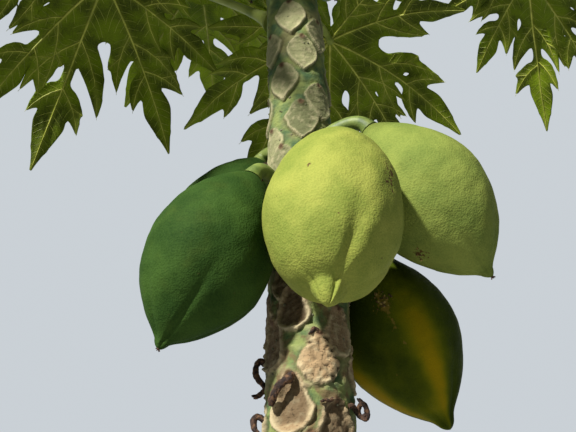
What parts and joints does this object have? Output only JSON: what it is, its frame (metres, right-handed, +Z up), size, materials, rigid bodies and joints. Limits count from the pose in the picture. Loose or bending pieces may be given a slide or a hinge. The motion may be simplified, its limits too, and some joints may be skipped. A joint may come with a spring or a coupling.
{
  "type": "papaya tree",
  "caption": "Whole papaya tree rooted in the ground: a slim tapering trunk with leaf scars, green fruits hung under an open crown of lobed leaves.",
  "frame": {"origin": "middle of the flat cut under the trunk, at ground level", "axes": "+Z up along the trunk, +X to the right of the side that faces the viewer, +Y away from the viewer"},
  "size_m": [1.598, 1.5136, 3.1596],
  "materials": {
    "trunk": "green-grey bark with pale khaki leaf scars, rough and dry",
    "fruit": "unripe fruit skin, leathery and softly waxy, finely mottled",
    "young_fruit": "smooth waxy skin of small green fruits",
    "petiole": "smooth hollow leaf stalk, yellow-green",
    "leaf": "thin leaf blade, satin above, matt and paler-veined below"
  },
  "bodies": {
    "root": {"trunk": "trunk", "fruit_front": "fruit", "fruit_right_upper": "fruit", "fruit_right_lower": "fruit", "fruit_left": "fruit", "fruit_left_back": "fruit", "fruit_back_upper": "fruit", "fruit_back_lower": "fruit", "young_fruit_1": "young_fruit", "young_fruit_2": "young_fruit", "young_fruit_3": "young_fruit", "young_fruit_4": "young_fruit", "petiole_01": "petiole", "leaf_01": "leaf", "petiole_02": "petiole", "leaf_02": "leaf", "petiole_03": "petiole", "leaf_03": "leaf", "petiole_04": "petiole", "leaf_04": "leaf", "petiole_05": "petiole", "leaf_05": "leaf", "petiole_06": "petiole", "leaf_06": "leaf", "petiole_07": "petiole", "leaf_07": "leaf", "petiole_08": "petiole", "leaf_08": "leaf", "petiole_09": "petiole", "leaf_09": "leaf", "petiole_10": "petiole", "leaf_10": "leaf", "petiole_11": "petiole", "leaf_11": "leaf", "petiole_12": "petiole", "leaf_12": "leaf", "petiole_13": "petiole", "leaf_13": "leaf", "petiole_14": "petiole", "leaf_14": "leaf", "petiole_15": "petiole", "leaf_15": "leaf", "petiole_16": "petiole", "leaf_16": "leaf", "petiole_17": "petiole", "leaf_17": "leaf", "petiole_18": "petiole", "leaf_18": "leaf", "petiole_19": "petiole", "leaf_19": "leaf", "petiole_20": "petiole", "leaf_20": "leaf", "petiole_21": "petiole", "leaf_21": "leaf", "petiole_22": "petiole", "leaf_22": "leaf"}
  },
  "joints": []
}
